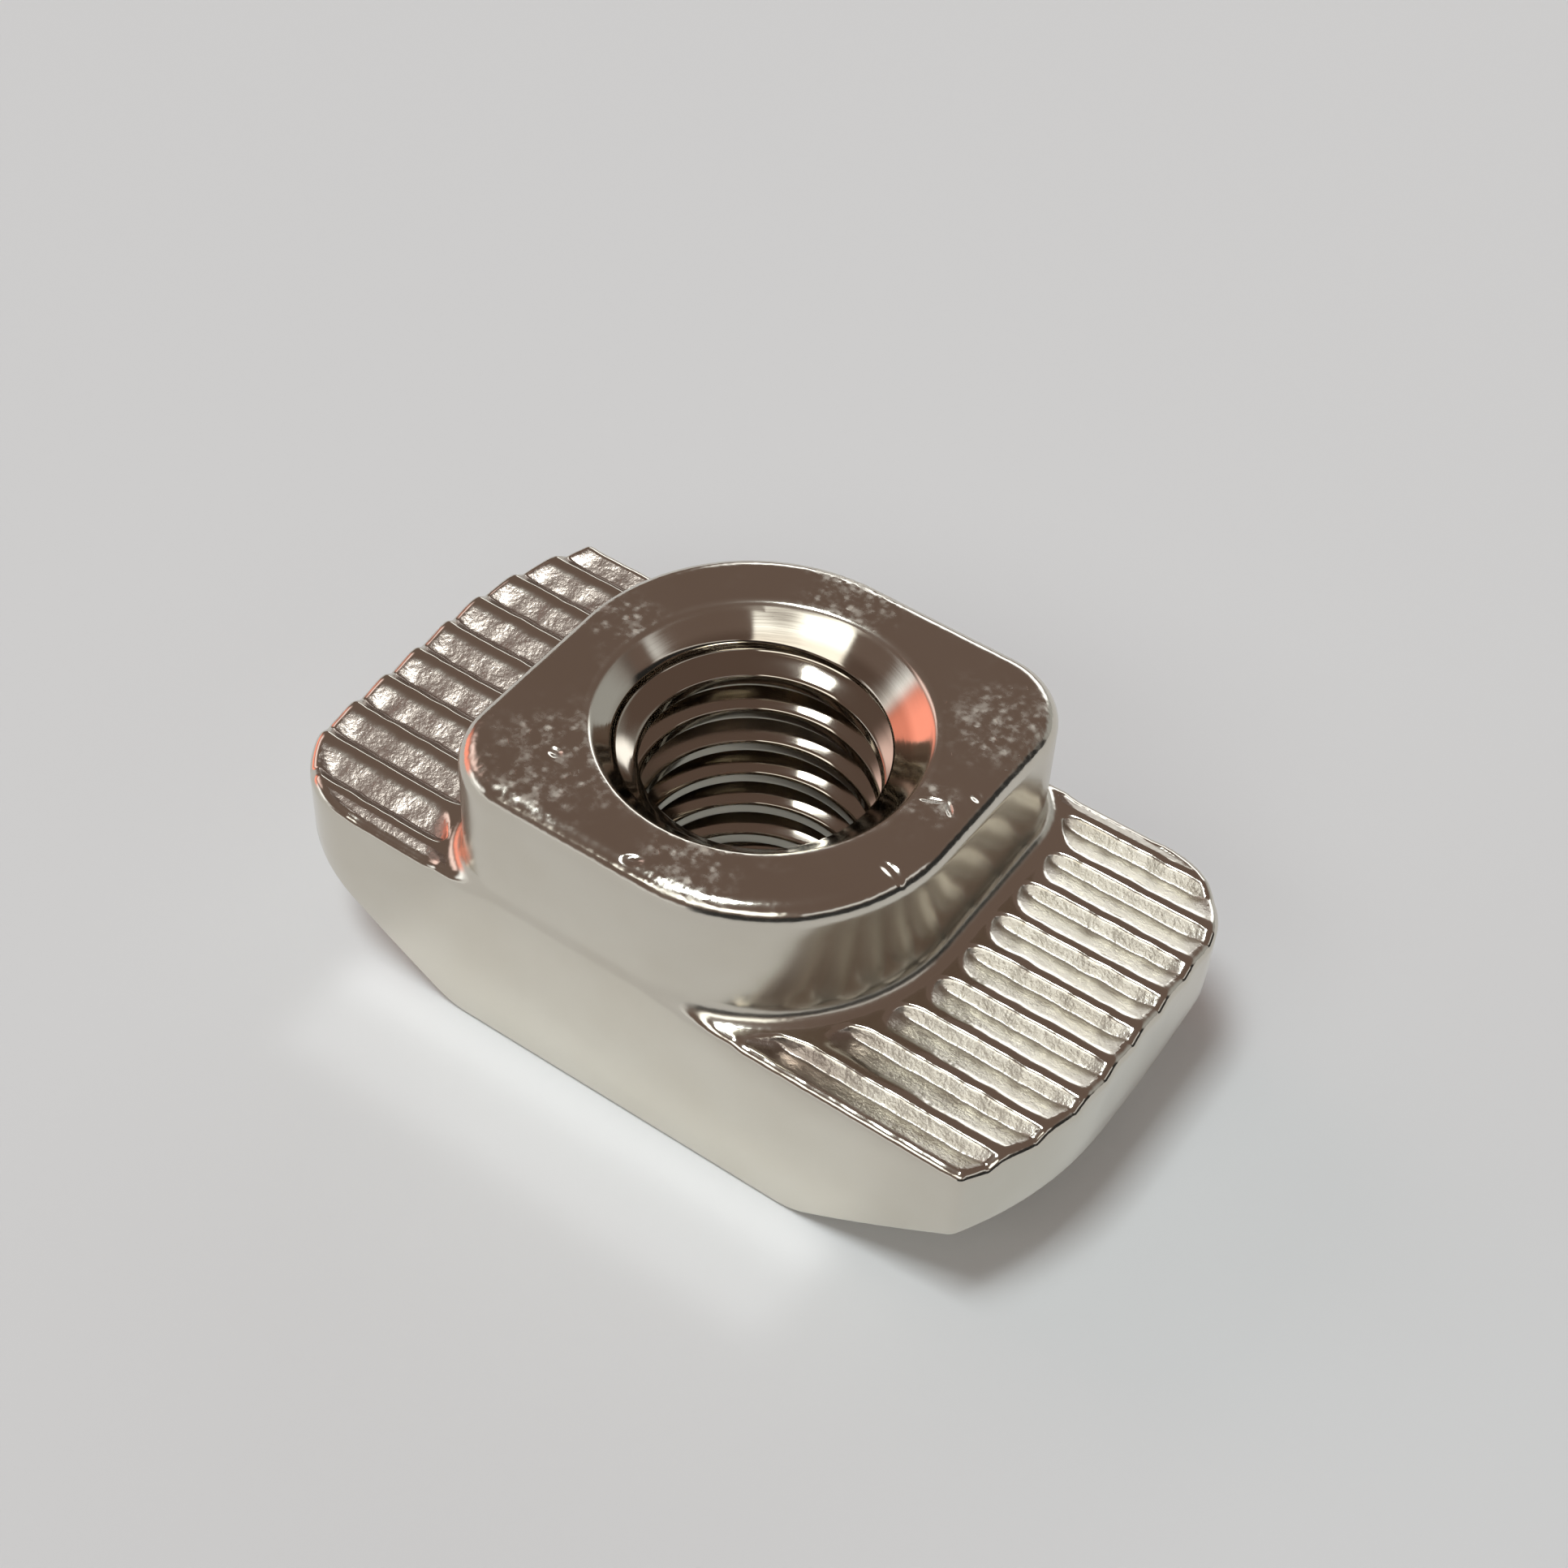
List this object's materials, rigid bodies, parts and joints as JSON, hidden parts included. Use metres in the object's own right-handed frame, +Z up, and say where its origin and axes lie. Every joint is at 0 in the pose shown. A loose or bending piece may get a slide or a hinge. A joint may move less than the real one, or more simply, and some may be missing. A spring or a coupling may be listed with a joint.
{
  "type": "slot nut",
  "caption": "Hammer-head slot nut: a square neck with two turned corners stands on a long head with serrated wings, and a countersunk, tapped hole runs through both.",
  "frame": {"origin": "on the thread's axis, at the flat underside", "axes": "+X along the head, from wing to wing; +Y across the head; +Z up along the thread, towards the neck's top"},
  "size_m": [0.0184, 0.0098, 0.0076],
  "materials": {
    "nickel_plated_steel": "bright nickel plate over steel, smooth on the neck and sides, satin in the valleys of the serrations"
  },
  "bodies": {
    "root": {"slot_nut": "nickel_plated_steel"}
  },
  "joints": []
}
